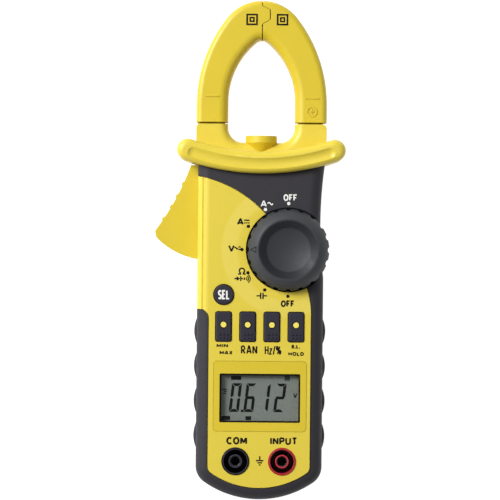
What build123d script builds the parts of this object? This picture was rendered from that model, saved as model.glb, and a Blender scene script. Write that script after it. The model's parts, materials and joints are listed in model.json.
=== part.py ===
from build123d import *
from math import atan2, cos, degrees, radians, sin, sqrt
import os

os.makedirs("parts", exist_ok=True)

# ---------------------------------------------------------------------------
# Frame: the meter lies on its back.  +Z rises out of the front face, +Y runs
# to the jaws, +X to the reader's right.  The origin is the centre of the flat
# rear face, on the centre line.  All lengths are millimetres.
# ---------------------------------------------------------------------------

# handset
HALF_WIDTH = 28.9
FOOT_Y = -76.7
FOOT_R = 44.0
FOOT_CORNER_R = 9.0
FACE_Z = 37.0
PART_Z = FACE_Z / 2
EDGE_R = 5.5
SKIN = 1.6
WALL = 2.0
INNER = SKIN + WALL
WAIST_X, WAIST_Y, WAIST_END_Y = 27.4, 52.0, 25.0
SHOULDER_X, SHOULDER_Y, TOP_MID_Y = 30.4, 84.5, 80.4
GRIP_DROP = 0.4
GROOVE = 0.3
GRIP_PITCH, GRIP_FIRST_Y, GRIP_COUNT = 16.0, 0.5, 4
GRIP_PROUD, GRIP_ARC_R = 1.2, 14.4
FACE_INSET = 5.6
BEAD_X, BEAD_R, BEAD_DEPTH = -26.2, 0.9, 0.55

# guard and jaw base
GUARD_TOP_Y, GUARD_BAND = 82.5, 9.9
GUARD_ARC_R = 96.2 + GUARD_BAND / 2
GUARD_Y = GUARD_TOP_Y - GUARD_BAND / 2 + GUARD_ARC_R
GUARD_HALF_ANGLE = 19.4
GUARD_FRONT_Z, GUARD_REAR_Z, GUARD_FILLET, GUARD_GROOVE_R = 41.5, 0.6, 3.0, 4.1
BASE_HALF_Z, BASE_TOP_Y = 8.4, 95.6
BOSS_MARK_R, BOSS_MARK_Z, BOSS_MARK_TOP_Y = 7.2, 23.0, 90.1
BOSS_TIP_R, BOSS_TIP_Y = 3.4, 82.3

# jaws
JAW_A, JAW_B, JAW_Y, JAW_TIP_R = 30.0, 48.2, 104.2, 20.5
JAW_HALF_Z, JAW_FOOT_Y = 9.0, 96.4
WINDOW_X, WINDOW_Y, WINDOW_ARC_R = 15.4, 106.0, 35.8
WINDOW_FLOOR_Y, WINDOW_CORNER_R, APEX_R = 87.0, 7.0, 4.0
JAW_WALL, JAW_SPLIT = 1.8, 0.4
LEDGE, LEDGE_GAP = 0.9, 0.3
LEG_HALF_Z, LEG_IN_X = 5.0, 16.9
LEG_OUT_X = {-1: 29.3, 1: 28.3}
CORE_INSET, CORE_HALF_Z = 3.7, 3.6
PIVOT_X, PIVOT_Y, PIVOT_R = -24.4, 75.3, 2.0
PIVOT_BOSS_R = 2.85
LEG_FOOT_Y = {-1: 70.5, 1: 77.4}

# trigger
TRIGGER_HALF_Z, TRIGGER_WALL = 9.0, 1.8
RIDGE_R, RIDGE_SUNK = 1.3, 0.65
SLOT_HALF_Z, SLOT_LOW_Y = 9.5, 31.6

# knob
KNOB_X, KNOB_Y, KNOB_R = 12.7, 37.8, 18.7
KNOB_LOBES, LOBE_CUT_R, LOBE_DEPTH = 20, 1.7, 0.75
KNOB_BASE_Z, KNOB_SKIRT_Z, KNOB_RIM_Z, KNOB_DISH_Z = 36.5, 40.0, 45.8, 43.0
KNOB_RIM_R, KNOB_DISH_R = 13.4, 9.6
WELL_R, WELL_Z = 19.4, 36.2
SHAFT_R, SHAFT_CLEAR = 4.0, 0.08

# keys
KEY_PITCH, KEY_Y, KEY_W, KEY_H = 11.05, 2.5, 7.2, 13.5
KEY_TOP_Z, KEY_GAP, KEY_STEM_Z = 37.8, 0.3, 31.7
SELECT_X, SELECT_Y, SELECT_R = -16.6, 17.1, 4.6
KEY_XS = [(i - 1.5) * KEY_PITCH for i in range(4)]

# display
LCD_X, LCD_Y, LCD_W, LCD_H = 0.3, -30.1, 36.9, 22.3
PANEL_W, PANEL_H, PANEL_Y, PANEL_T = 42.4, 32.0, -29.3, 0.8

# sockets
JACK_X, JACK_Y = 10.65, -59.0
JACK_RIM_R, JACK_R, JACK_BORE_R, POST_R = 6.4, 6.0, 5.4, 3.0
JACK_TOP_Z, JACK_LOW_Z, POST_TOP_Z, PIN_R = 37.4, 14.0, 36.0, 2.05

# electronics, battery and fastenings
PCB_Z, PCB_T = 28.6, 1.6
BATTERY_W, BATTERY_L, BATTERY_T, BATTERY_Y = 26.2, 48.0, 17.2, -19.0
DOOR_W, DOOR_LOW_Y, DOOR_HIGH_Y, DOOR_T = 30.0, -50.5, 9.0, 1.8
SCREW_R, SCREW_HEAD_R = 1.25, 2.6
BOSSES = [(-22.0, -57.0), (22.0, -57.0), (-22.0, 25.5), (21.0, 64.0)]
BOSS_R = 3.1

INNER_Z = FACE_Z - 3.0
FLOOR_Z = 2.6


def save(name, part):
    """Label a finished piece and write its file."""
    part.label = name
    export_step(part, "parts/" + name + ".step")


# ---------------------------------------------------------------------------
# Shared plans and forms
# ---------------------------------------------------------------------------

def body_outline(inset=0.0):
    """Plan of the handset: straight left side, waisted right side, bowed foot."""
    foot_corner_y = FOOT_Y + FOOT_R - sqrt(FOOT_R**2 - HALF_WIDTH**2)
    with BuildSketch() as plan:
        with BuildLine():
            left = Line((-HALF_WIDTH, foot_corner_y), (-HALF_WIDTH, SHOULDER_Y))
            top = ThreePointArc(left @ 1, (0, TOP_MID_Y), (SHOULDER_X, SHOULDER_Y))
            waist = ThreePointArc(top @ 1, (WAIST_X, WAIST_Y), (HALF_WIDTH, WAIST_END_Y))
            right = Line(waist @ 1, (HALF_WIDTH, foot_corner_y))
            ThreePointArc(right @ 1, (0, FOOT_Y), left @ 0)
        make_face()
        fillet(plan.vertices().sort_by(Axis.Y)[:2], FOOT_CORNER_R)
        if inset:
            offset(amount=-inset)
    return plan.sketch


def body_form(inset, z_low, z_high):
    """The handset's solid form with rounded front and rear edges."""
    with BuildPart() as form:
        with BuildSketch(Plane.XY.offset(z_low)):
            add(body_outline(inset))
        extrude(amount=z_high - z_low)
        rim = form.faces().sort_by(Axis.Z)
        fillet(rim[0].edges() + rim[-1].edges(), EDGE_R - inset)
    return form.part


def prism(sketch, z_low, z_high):
    """A plan drawn up from one height to another."""
    with BuildPart() as solid:
        with BuildSketch(Plane.XY.offset(z_low)):
            add(sketch)
        extrude(amount=z_high - z_low)
    return solid.part


def rod(radius, z_low, z_high, places):
    """Equal upright cylinders at the given places."""
    with BuildPart() as rods:
        with BuildSketch(Plane.XY.offset(z_low)):
            with Locations(*places):
                Circle(radius)
        extrude(amount=z_high - z_low)
    return rods.part


def block(x_low, x_high, y_low, y_high, z_low, z_high, corner_r=0.0):
    """An upright block given by its two corners, its plan's corners rounded."""
    with BuildPart() as solid:
        with BuildSketch(Plane.XY.offset(z_low)):
            with Locations(((x_low + x_high) / 2, (y_low + y_high) / 2)):
                if corner_r:
                    RectangleRounded(x_high - x_low, y_high - y_low, corner_r)
                else:
                    Rectangle(x_high - x_low, y_high - y_low)
        extrude(amount=z_high - z_low)
    return solid.part


def face_plan(margin=0.0):
    """Plan of the yellow face, which the dark skin surrounds; margin grows it."""
    x_edge = HALF_WIDTH - FACE_INSET
    with BuildSketch() as plan:
        add(body_outline(FACE_INSET))
        with Locations((0, 56)):
            Rectangle(80, 100, mode=Mode.SUBTRACT)
        with BuildLine():
            rise = Line((-34, 10.4), (-34, 71.9))
            step = Line(rise @ 1, (-HALF_WIDTH, 71.2))
            sweep_in = ThreePointArc(step @ 1, (-12.3, 65.3), (2.5, 53.8))
            hub = Line(sweep_in @ 1, (KNOB_X, KNOB_Y))
            out = Line(hub @ 1, (21.2, 20.6))
            shoulder = ThreePointArc(out @ 1, (22.8, 14.4), (x_edge, 6))
            across = Line(shoulder @ 1, (-x_edge, 6))
            notch = ThreePointArc(across @ 1, (-24.4, 9.1), (-26.4, 10.4))
            Line(notch @ 1, rise @ 0)
        make_face()
        if margin:
            offset(amount=margin)
    return plan.sketch


def window_plan(grow=0.0):
    """Plan of the conductor window: a pointed arch on a flat floor."""
    half = WINDOW_X + grow
    centre = WINDOW_X - WINDOW_ARC_R
    radius = WINDOW_ARC_R + grow
    apex = WINDOW_Y + sqrt(radius**2 - centre**2)
    bend = radians(26)
    side = (centre + radius * cos(bend), WINDOW_Y + radius * sin(bend))
    floor = WINDOW_FLOOR_Y - grow
    with BuildSketch() as plan:
        with BuildLine():
            right = Line((half, floor), (half, WINDOW_Y))
            arch = ThreePointArc(right @ 1, side, (0, apex))
            back = ThreePointArc(arch @ 1, (-side[0], side[1]), (-half, WINDOW_Y))
            left = Line(back @ 1, (-half, floor))
            Line(left @ 1, right @ 0)
        make_face()
        fillet(plan.vertices().sort_by(Axis.Y)[:2], WINDOW_CORNER_R + grow)
        fillet(plan.vertices().sort_by(Axis.Y)[-1:], APEX_R + grow)
    return plan.sketch


def arch_plan(inset=0.0, foot=JAW_FOOT_Y):
    """Plan of both jaws together: two flank arcs and a tip arc, down to the foot line."""
    rise = JAW_B - JAW_TIP_R
    flank_r = (JAW_A**2 + rise**2 - JAW_TIP_R**2) / (2 * (JAW_A - JAW_TIP_R))
    turn = degrees(atan2(rise, flank_r - JAW_A))
    shift = flank_r - JAW_A
    half = JAW_A - inset
    with BuildSketch() as plan:
        with BuildLine():
            right = Line((half, foot), (half, JAW_Y))
            CenterArc((-shift, JAW_Y), flank_r - inset, 0, turn)
            CenterArc((0, JAW_Y + rise), JAW_TIP_R - inset, turn, 180 - 2 * turn)
            CenterArc((shift, JAW_Y), flank_r - inset, 180 - turn, turn)
            left = Line((-half, JAW_Y), (-half, foot))
            Line(left @ 1, right @ 0)
        make_face()
        add(window_plan(inset), mode=Mode.SUBTRACT)
    return plan.sketch


def left_half_plan(gap):
    """Everything left of the jaws' split line, with the tongue near the tip."""
    with BuildSketch() as plan:
        with BuildLine():
            Polyline(
                (gap, 60), (gap, 141.5), (3.6 + gap, 143.7), (3.6 + gap, 148.2),
                (gap, 149.9), (gap, 170), (-60, 170), (-60, 60), close=True,
            )
        make_face()
    return plan.sketch


def leg_plan(side):
    """Plan of the leg that carries a jaw down into the handset."""
    x_low, x_high = sorted((side * LEG_OUT_X[side], side * LEG_IN_X))
    foot = LEG_FOOT_Y[side]
    with BuildSketch() as plan:
        with Locations(((x_low + x_high) / 2, (foot + JAW_FOOT_Y + 1) / 2)):
            Rectangle(x_high - x_low, JAW_FOOT_Y + 1 - foot)
    return plan.sketch


def base_plan():
    """Plan of the U-shaped base that the jaws stand on."""
    with BuildSketch() as plan:
        with Locations((0, (BASE_TOP_Y + 78) / 2)):
            Rectangle(2 * JAW_A, BASE_TOP_Y - 78)
        fillet(plan.vertices().group_by(Axis.Y)[-1], 2.0)
        add(window_plan(), mode=Mode.SUBTRACT)
    return plan.sketch


def guard_plan(inset=0.0):
    """Plan of the hand guard: a curved bar with round ends."""
    start = 270 - GUARD_HALF_ANGLE
    with BuildSketch() as plan:
        with BuildLine() as path:
            CenterArc((0, GUARD_Y), GUARD_ARC_R, start, 2 * GUARD_HALF_ANGLE)
        SlotArc(arc=path.wires()[0], height=GUARD_BAND - 2 * inset)
    return plan.sketch


def trigger_plan():
    """Plan of the trigger, with the finger ridges along its outer edge."""
    top, tip = (-32.3, 76.4), (-48.6, 46.0)
    edge_mid = (-39.6, 60.0)
    with BuildSketch() as plan:
        with BuildLine():
            edge = ThreePointArc(top, edge_mid, tip)
            under = Line(edge @ 1, (-47.9, 43.0))
            foot = ThreePointArc(under @ 1, (-39.2, 36.6), (-27.2, 33.0))
            Line(foot @ 1, (-27.2, 58.0))
            Line((-27.2, 58.0), (-19.5, 69.0))
            Line((-19.5, 69.0), (-19.5, 72.6))
            Line((-19.5, 72.6), (-24.0, 76.4))
            Line((-24.0, 76.4), top)
        make_face()
        fillet(plan.vertices().sort_by(Axis.X)[:2], 1.4)
        ridges = []
        for t in (0.27, 0.45, 0.61, 0.80):
            along = edge % t
            ridges.append(edge @ t + Vector(-along.Y, along.X) * RIDGE_SUNK)
        with Locations(*ridges):
            Circle(RIDGE_R)
    return plan.sketch


# ---------------------------------------------------------------------------
# Jaws
# ---------------------------------------------------------------------------

def core_plan(side, grow=0.0):
    """Plan of one half of the magnetic core, which follows its jaw."""
    x_in, x_out = WINDOW_X + CORE_INSET - grow, JAW_A - CORE_INSET + grow
    x_low, x_high = sorted((side * x_in, side * x_out))
    foot = 80.5 - grow
    tip = {-1: -0.9 + grow, 1: 5.2 - grow}[side]
    with BuildSketch() as plan:
        add(arch_plan(CORE_INSET - grow))
        with Locations((tip - side * 50, 120)):
            Rectangle(100, 120, mode=Mode.SUBTRACT)
        with Locations(((x_low + x_high) / 2, (foot + 100) / 2)):
            Rectangle(x_high - x_low, 100 - foot)
        if side > 0:
            with Locations((6.4, 82.0)):
                Rectangle(39.8 + 2 * grow, 7.0 + 2 * grow)
    return plan.sketch


def core_solid(side, grow=0.0):
    """The core half at its own thickness, or a pocket for it."""
    reach = CORE_HALF_Z + grow
    return prism(core_plan(side, grow), PART_Z - reach, PART_Z + reach)


def arch_half(up):
    """Front (up=1) or rear (up=-1) half of the pair of jaws, before the split."""
    with BuildPart() as arch:
        with BuildSketch(Plane.XY.offset(PART_Z)):
            add(arch_plan())
        extrude(amount=up * JAW_HALF_Z)
        face = arch.faces().sort_by(Axis.Z)[-1 if up > 0 else 0]
        foot_line = JAW_FOOT_Y + 0.1
        fillet([e for e in face.inner_wires().edges() + face.outer_wire().edges()
                if e.center().Y > foot_line and abs(e.center().X) < WINDOW_X + 0.5 and in_window(e)], 4.2)
        face = arch.faces().sort_by(Axis.Z)[-1 if up > 0 else 0]
        fillet([e for e in face.outer_wire().edges() if not in_window(e) and e.center().Y > foot_line + 0.1
                and on_outside(e)], 2.6)
    return arch.part


def in_window(edge):
    """True for an edge on the window's side of the jaws."""
    middle = edge @ 0.5
    return abs(middle.X) <= WINDOW_X + 0.1 and middle.Y < WINDOW_Y + 31


def on_outside(edge):
    """True for an edge on the outer side of the jaws."""
    middle = edge @ 0.5
    reach = (middle.X / JAW_A)**2 + (max(middle.Y - JAW_Y, 0) / JAW_B)**2
    return reach > 0.92


def jaw_shell(side, up):
    """One moulded half of one jaw, with its half of the leg.

    The moving jaw's rear half has a ledge that reaches under the fixed jaw's front half, so the split isn't open.
    """
    form = arch_half(up)
    step = LEDGE if up < 0 else 0.0
    region = prism(left_half_plan(step + side * JAW_SPLIT / 2), -10, 60)
    keep = Mode.INTERSECT if side < 0 else Mode.SUBTRACT
    hollow = prism(arch_plan(JAW_WALL, JAW_FOOT_Y + JAW_WALL), PART_Z - 7.2, PART_Z + 7.2)
    z_low, z_high = sorted((PART_Z, PART_Z + up * LEG_HALF_Z))
    with BuildPart() as room:
        add(hollow)
        add(block(-2.2, 5.8, 125, 160, 0, 40), mode=Mode.SUBTRACT)
    with BuildPart() as shell:
        add(form)
        add(region, mode=keep)
        add(room.part, mode=Mode.SUBTRACT)
        add(prism(leg_plan(side), z_low, z_high))
        add(core_solid(side, 0.2), mode=Mode.SUBTRACT)
        if side < 0 and up < 0:
            with BuildPart(mode=Mode.PRIVATE) as ledge_room:
                add(prism(left_half_plan(LEDGE + 1.0), PART_Z - LEDGE_GAP, PART_Z + 1))
                add(prism(left_half_plan(-JAW_SPLIT / 2), 0, 60), mode=Mode.SUBTRACT)
            add(ledge_room.part, mode=Mode.SUBTRACT)
        if side < 0:
            add(rod(PIVOT_R + 0.05, 0, 40, [(PIVOT_X, PIVOT_Y)]), mode=Mode.SUBTRACT)
            if up > 0:
                add(rod(4.1, PART_Z + 1.2, 40, [(PIVOT_X, PIVOT_Y)]), mode=Mode.SUBTRACT)
    return shell.part


for side, jaw_name in ((-1, "moving_jaw"), (1, "fixed_jaw")):
    save(jaw_name + "_front_shell", jaw_shell(side, 1))
    save(jaw_name + "_rear_shell", jaw_shell(side, -1))
    save(jaw_name + "_core", core_solid(side))

# coils on the straight stretch of each core
COIL_LOW_Y, COIL_HIGH_Y, FLANGE = 99.2, 112.0, 0.9
for side, jaw_name in ((-1, "moving_jaw"), (1, "fixed_jaw")):
    half_side = block(*sorted((side * 1.0, side * 40.0)), COIL_LOW_Y, COIL_HIGH_Y, 0, 40)
    wound = block(*sorted((side * 1.0, side * 40.0)), COIL_LOW_Y + FLANGE, COIL_HIGH_Y - FLANGE, 0, 40)
    with BuildPart() as bobbin:
        add(prism(arch_plan(JAW_WALL + 0.3, 90), PART_Z - 6.7, PART_Z + 6.7))
        add(half_side, mode=Mode.INTERSECT)
        with BuildPart(mode=Mode.PRIVATE) as channel:
            add(prism(arch_plan(CORE_INSET - 0.8, 80), PART_Z - 4.4, PART_Z + 4.4))
        with BuildPart(mode=Mode.PRIVATE) as winding_room:
            add(wound)
            add(channel.part, mode=Mode.SUBTRACT)
        add(winding_room.part, mode=Mode.SUBTRACT)
        add(core_solid(side, 0.1), mode=Mode.SUBTRACT)
    save(jaw_name + "_bobbin", bobbin.part)
    with BuildPart() as winding:
        add(prism(arch_plan(JAW_WALL + 0.7, 90), PART_Z - 6.3, PART_Z + 6.3))
        add(wound, mode=Mode.INTERSECT)
        add(channel.part, mode=Mode.SUBTRACT)
    save(jaw_name + "_winding", winding.part)


# ---------------------------------------------------------------------------
# Trigger, pivot pin and return spring
# ---------------------------------------------------------------------------

SWING_ROOM_R = 8.0

with BuildPart() as trigger:
    with BuildSketch(Plane.XY.offset(PART_Z - TRIGGER_HALF_Z)):
        add(trigger_plan())
    extrude(amount=2 * TRIGGER_HALF_Z)
    with BuildSketch(Plane.XY.offset(PART_Z - LEG_HALF_Z - 0.1)):
        with Locations((-24, 73.5)):
            Rectangle(12.0, 9.0)
    extrude(amount=2 * LEG_HALF_Z + 0.2, mode=Mode.SUBTRACT)
    add(rod(PIVOT_R + 0.05, 0, 40, [(PIVOT_X, PIVOT_Y)]), mode=Mode.SUBTRACT)
    with BuildSketch(Plane.XY.offset(PART_Z - TRIGGER_HALF_Z + TRIGGER_WALL)):
        with BuildLine():
            Polyline(
                (-26.0, 36.0), (-30.5, 36.5), (-44.5, 45.5), (-36.6, 60.5), (-33.0, 66.5), (-26.0, 60.0),
                close=True,
            )
        make_face()
    extrude(amount=2 * (TRIGGER_HALF_Z - TRIGGER_WALL), mode=Mode.SUBTRACT)
save("trigger", trigger.part)

with BuildPart() as jaw_pivot_pin:
    with BuildSketch(Plane.XY.offset(4.5)):
        with Locations((PIVOT_X, PIVOT_Y)):
            Circle(PIVOT_R)
    extrude(amount=29.0)
    chamfer(jaw_pivot_pin.edges().filter_by(GeomType.CIRCLE), 0.3)
save("jaw_pivot_pin", jaw_pivot_pin.part)

SPRING_R, SPRING_WIRE_R, SPRING_PITCH = 3.1, 0.35, 0.85
with BuildPart() as jaw_return_spring:
    with BuildLine(Plane((PIVOT_X, PIVOT_Y, PART_Z + 1.7))) as coil_path:
        Helix(SPRING_PITCH, 2.6, SPRING_R)
    with BuildSketch(Plane(coil_path.edges()[0] @ 0, z_dir=coil_path.edges()[0] % 0)):
        Circle(SPRING_WIRE_R)
    sweep(path=coil_path.wires()[0], is_frenet=True)
save("jaw_return_spring", jaw_return_spring.part)


# ---------------------------------------------------------------------------
# Housing shells and their soft skins
# ---------------------------------------------------------------------------

JACKS = [(-JACK_X, JACK_Y), (JACK_X, JACK_Y)]
KEYS = [(x, KEY_Y) for x in KEY_XS]
SWING_Z = (PART_Z - SLOT_HALF_Z, PART_Z + SLOT_HALF_Z)


def guard_half(up):
    """Front or rear half of the hand guard, with the thumb groove in front."""
    z_far = GUARD_FRONT_Z if up > 0 else GUARD_REAR_Z
    start = 270 - GUARD_HALF_ANGLE
    with BuildPart() as guard:
        with BuildSketch(Plane.XY.offset(PART_Z)):
            add(guard_plan())
        extrude(amount=z_far - PART_Z)
        fillet(guard.faces().sort_by(Axis.Z)[-1 if up > 0 else 0].edges(), GUARD_FILLET)
        if up > 0:
            with BuildLine(Plane.XY.offset(GUARD_FRONT_Z + 3.2)) as groove:
                CenterArc((0, GUARD_Y), GUARD_ARC_R + 0.6, start + 1.6, 2 * GUARD_HALF_ANGLE - 3.2)
            with BuildSketch(Plane(groove.edges()[0] @ 0, z_dir=groove.edges()[0] % 0)):
                Circle(GUARD_GROOVE_R)
            sweep(path=groove.wires()[0], mode=Mode.SUBTRACT)
            with Locations(groove.edges()[0] @ 0, groove.edges()[0] @ 1):
                Sphere(GUARD_GROOVE_R, mode=Mode.SUBTRACT)
    return guard.part


def base_half(up):
    """Front or rear cheek of the U-shaped base, rounded towards the window."""
    with BuildPart() as base:
        with BuildSketch(Plane.XY.offset(PART_Z)):
            add(base_plan())
        extrude(amount=up * BASE_HALF_Z)
        face = base.faces().sort_by(Axis.Z)[-1 if up > 0 else 0]
        ring = [e for e in face.edges() if in_window(e) and (e @ 0.5).Y < BASE_TOP_Y - 0.5 and (e @ 0.5).Y > 80]
        fillet(ring, 3.9)
    return base.part


def rear_plan(margin=0.0):
    """Plan of the rear shell's bare area: its flat and the trigger's side."""
    with BuildSketch() as plan:
        add(body_outline(FACE_INSET - margin))
        with Locations((-17 + margin / 2, 50.4 - margin / 2)):
            Rectangle(34 + margin, 80 + margin)
    return plan.sketch


def swing_room():
    """Space for the jaw's leg and the trigger to swing in."""
    leg_z = (PART_Z - LEG_HALF_Z - 0.4, PART_Z + LEG_HALF_Z + 0.4)
    with BuildPart() as room:
        add(block(-16.0, LEG_IN_X, 66, 85.7, *leg_z))
        add(block(LEG_IN_X - 0.2, LEG_OUT_X[1] + 0.2, LEG_FOOT_Y[1] - 0.2, 97, *leg_z))
        with BuildSketch(Plane.XY.offset(leg_z[0])):
            with BuildLine():
                Polyline(
                    (-31.6, 66), (-31.6, 77), (-36.3, 90.5), (-36.3, 97), (-16.6, 97), (-16.6, 85.7), (-15.5, 85.7),
                    (-15.5, 66), close=True,
                )
            make_face()
        extrude(amount=leg_z[1] - leg_z[0])
        add(block(-40, -9, SLOT_LOW_Y, 76.9, *SWING_Z))
        add(rod(SWING_ROOM_R, *SWING_Z, [(PIVOT_X, PIVOT_Y)]))
    return room.part


def under_skin():
    """The hard form beneath the soft skin."""
    return body_form(SKIN, SKIN, FACE_Z - GRIP_DROP - SKIN)


def skin_form():
    """The outer form of the soft skin, a little lower than the hard face."""
    return body_form(0, 0, FACE_Z - GRIP_DROP)


def half_space(up):
    """Everything in front of the parting plane (up=1) or behind it (up=-1)."""
    z_low, z_high = sorted((PART_Z, PART_Z + up * 50))
    return block(-60, 60, -90, 170, z_low, z_high)


with BuildPart() as window_boss:
    for far_y, far_r in ((BOSS_MARK_TOP_Y, BOSS_MARK_R), (BOSS_TIP_Y, BOSS_TIP_R)):
        for y, radius in ((WINDOW_FLOOR_Y, BOSS_MARK_R), (far_y, far_r)):
            with BuildSketch(Plane.XZ.offset(-y)):
                with Locations((0, BOSS_MARK_Z)):
                    Circle(radius)
        loft()
    add(core_solid(1, 0.2), mode=Mode.SUBTRACT)

with BuildPart() as edge_bead:
    drop = EDGE_R - HALF_WIDTH - BEAD_X
    bead_z = FACE_Z - EDGE_R + sqrt(EDGE_R**2 - drop**2) + BEAD_R - BEAD_DEPTH
    with BuildSketch(Plane.XZ.offset(-10)):
        with Locations((BEAD_X, bead_z)):
            Circle(BEAD_R)
    extrude(amount=-64)

with BuildPart() as front_housing:
    add(body_form(0, 0, FACE_Z))
    add(edge_bead.part, mode=Mode.SUBTRACT)
    add(prism(face_plan(), 0, 60), mode=Mode.INTERSECT)
    add(under_skin())
    add(body_form(INNER, FLOOR_Z, INNER_Z), mode=Mode.SUBTRACT)
    add(guard_half(1))
    add(base_half(1))
    add(rod(BOSS_R, PART_Z, INNER_Z + 0.5, BOSSES))
    add(rod(PIVOT_BOSS_R, PART_Z + SLOT_HALF_Z, INNER_Z + 0.5, [(PIVOT_X, PIVOT_Y)]))
    add(half_space(1), mode=Mode.INTERSECT)
    add(swing_room(), mode=Mode.SUBTRACT)
    add(window_boss.part, mode=Mode.SUBTRACT)
    add(rod(PIVOT_R + 0.02, 0, 33.6, [(PIVOT_X, PIVOT_Y)]), mode=Mode.SUBTRACT)
    add(rod(SCREW_R + 0.05, 0, 31.5, BOSSES), mode=Mode.SUBTRACT)
    add(rod(WELL_R, WELL_Z, 60, [(KNOB_X, KNOB_Y)]), mode=Mode.SUBTRACT)
    add(rod(SHAFT_R + SHAFT_CLEAR, 20, 60, [(KNOB_X, KNOB_Y)]), mode=Mode.SUBTRACT)
    add(rod(JACK_R + 0.05, 20, 60, JACKS), mode=Mode.SUBTRACT)
    add(rod(SELECT_R + KEY_GAP, 20, 60, [(SELECT_X, SELECT_Y)]), mode=Mode.SUBTRACT)
    for x in KEY_XS:
        add(block(x - KEY_W / 2 - KEY_GAP, x + KEY_W / 2 + KEY_GAP, KEY_Y - KEY_H / 2 - KEY_GAP,
                  KEY_Y + KEY_H / 2 + KEY_GAP, 20, 60, 1.2), mode=Mode.SUBTRACT)
    add(block(LCD_X - PANEL_W / 2 - 0.1, LCD_X + PANEL_W / 2 + 0.1, PANEL_Y - PANEL_H / 2 - 0.1,
              PANEL_Y + PANEL_H / 2 + 0.1, FACE_Z - PANEL_T, 60, 1.6), mode=Mode.SUBTRACT)
    add(block(LCD_X - LCD_W / 2, LCD_X + LCD_W / 2, LCD_Y - LCD_H / 2, LCD_Y + LCD_H / 2, 20, 60, 0.6),
        mode=Mode.SUBTRACT)
save("front_housing", front_housing.part)

with BuildPart() as rear_housing:
    add(body_form(0, 0, FACE_Z))
    add(prism(rear_plan(), -5, 60), mode=Mode.INTERSECT)
    add(under_skin())
    add(body_form(INNER, FLOOR_Z, INNER_Z), mode=Mode.SUBTRACT)
    add(guard_half(-1))
    add(base_half(-1))
    add(rod(BOSS_R, FLOOR_Z - 0.5, PART_Z, BOSSES))
    add(rod(PIVOT_BOSS_R, FLOOR_Z - 0.5, PART_Z - SLOT_HALF_Z, [(PIVOT_X, PIVOT_Y)]))
    with BuildPart(mode=Mode.PRIVATE) as tray:
        add(block(-15.0, 15.0, -44.8, 9.4, FLOOR_Z - 0.5, PART_Z))
        add(block(-13.6, 13.6, -43.4, 8.0, FLOOR_Z - 1, PART_Z + 1), mode=Mode.SUBTRACT)
    add(tray.part)
    add(rod(3.0, FLOOR_Z - 0.5, 9.5, [(0, -47.4)]))
    add(half_space(-1), mode=Mode.INTERSECT)
    add(swing_room(), mode=Mode.SUBTRACT)
    add(window_boss.part, mode=Mode.SUBTRACT)
    add(rod(PIVOT_R + 0.02, 4.5, 40, [(PIVOT_X, PIVOT_Y)]), mode=Mode.SUBTRACT)
    add(rod(SCREW_R + 0.05, 0, 40, BOSSES), mode=Mode.SUBTRACT)
    add(rod(SCREW_HEAD_R + 0.2, -1, 4.0, BOSSES), mode=Mode.SUBTRACT)
    add(block(-13.6, 13.6, -43.4, 8.0, -1, 10), mode=Mode.SUBTRACT)
    add(block(-DOOR_W / 2, DOOR_W / 2, DOOR_LOW_Y, DOOR_HIGH_Y, -1, DOOR_T, 2.0), mode=Mode.SUBTRACT)
    add(rod(SCREW_R + 0.05, 0, 8.5, [(0, -47.4)]), mode=Mode.SUBTRACT)
save("rear_housing", rear_housing.part)


def grips(z_low, z_high):
    """Finger swells along both sides of the soft skin."""
    with BuildPart() as swells:
        with BuildSketch(Plane.XY.offset(z_low)):
            for side in (-1, 1):
                centre_x = side * (HALF_WIDTH + GRIP_PROUD - GRIP_ARC_R)
                with Locations(*[(centre_x, GRIP_FIRST_Y - i * GRIP_PITCH) for i in range(GRIP_COUNT)]):
                    Circle(GRIP_ARC_R)
            Rectangle(2 * (HALF_WIDTH - 0.8), 400, mode=Mode.SUBTRACT)
        extrude(amount=z_high - z_low)
        far = swells.faces().sort_by(Axis.Z)
        rims = far[-8:].edges() if z_low >= PART_Z else far[:8].edges()
        chamfer([e for e in rims if e.geom_type == GeomType.CIRCLE], 0.9)
    return swells.part


with BuildPart() as front_skin:
    add(skin_form())
    add(grips(PART_Z, 29.8))
    add(under_skin(), mode=Mode.SUBTRACT)
    add(prism(face_plan(GROOVE), -5, 60), mode=Mode.SUBTRACT)
    add(half_space(1), mode=Mode.INTERSECT)
    add(guard_half(1), mode=Mode.SUBTRACT)
    add(base_half(1), mode=Mode.SUBTRACT)
    add(swing_room(), mode=Mode.SUBTRACT)
    add(rod(WELL_R, WELL_Z, 60, [(KNOB_X, KNOB_Y)]), mode=Mode.SUBTRACT)
    add(rod(SHAFT_R + SHAFT_CLEAR + 1, 20, 60, [(KNOB_X, KNOB_Y)]), mode=Mode.SUBTRACT)
    add(rod(PIVOT_BOSS_R, PART_Z, INNER_Z + 0.5, [(PIVOT_X, PIVOT_Y)]), mode=Mode.SUBTRACT)
    add(block(-40, 40, 79, 120, -5, 60), mode=Mode.SUBTRACT)
save("front_skin", front_skin.part)

with BuildPart() as rear_skin:
    add(skin_form())
    add(grips(7.2, PART_Z))
    add(under_skin(), mode=Mode.SUBTRACT)
    add(prism(rear_plan(GROOVE), -5, 60), mode=Mode.SUBTRACT)
    add(half_space(-1), mode=Mode.INTERSECT)
    add(guard_half(-1), mode=Mode.SUBTRACT)
    add(base_half(-1), mode=Mode.SUBTRACT)
    add(swing_room(), mode=Mode.SUBTRACT)
    add(block(-40, 40, 79, 120, -5, 60), mode=Mode.SUBTRACT)
save("rear_skin", rear_skin.part)
save("window_boss", window_boss.part)


# ---------------------------------------------------------------------------
# Rotary switch
# ---------------------------------------------------------------------------

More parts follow.
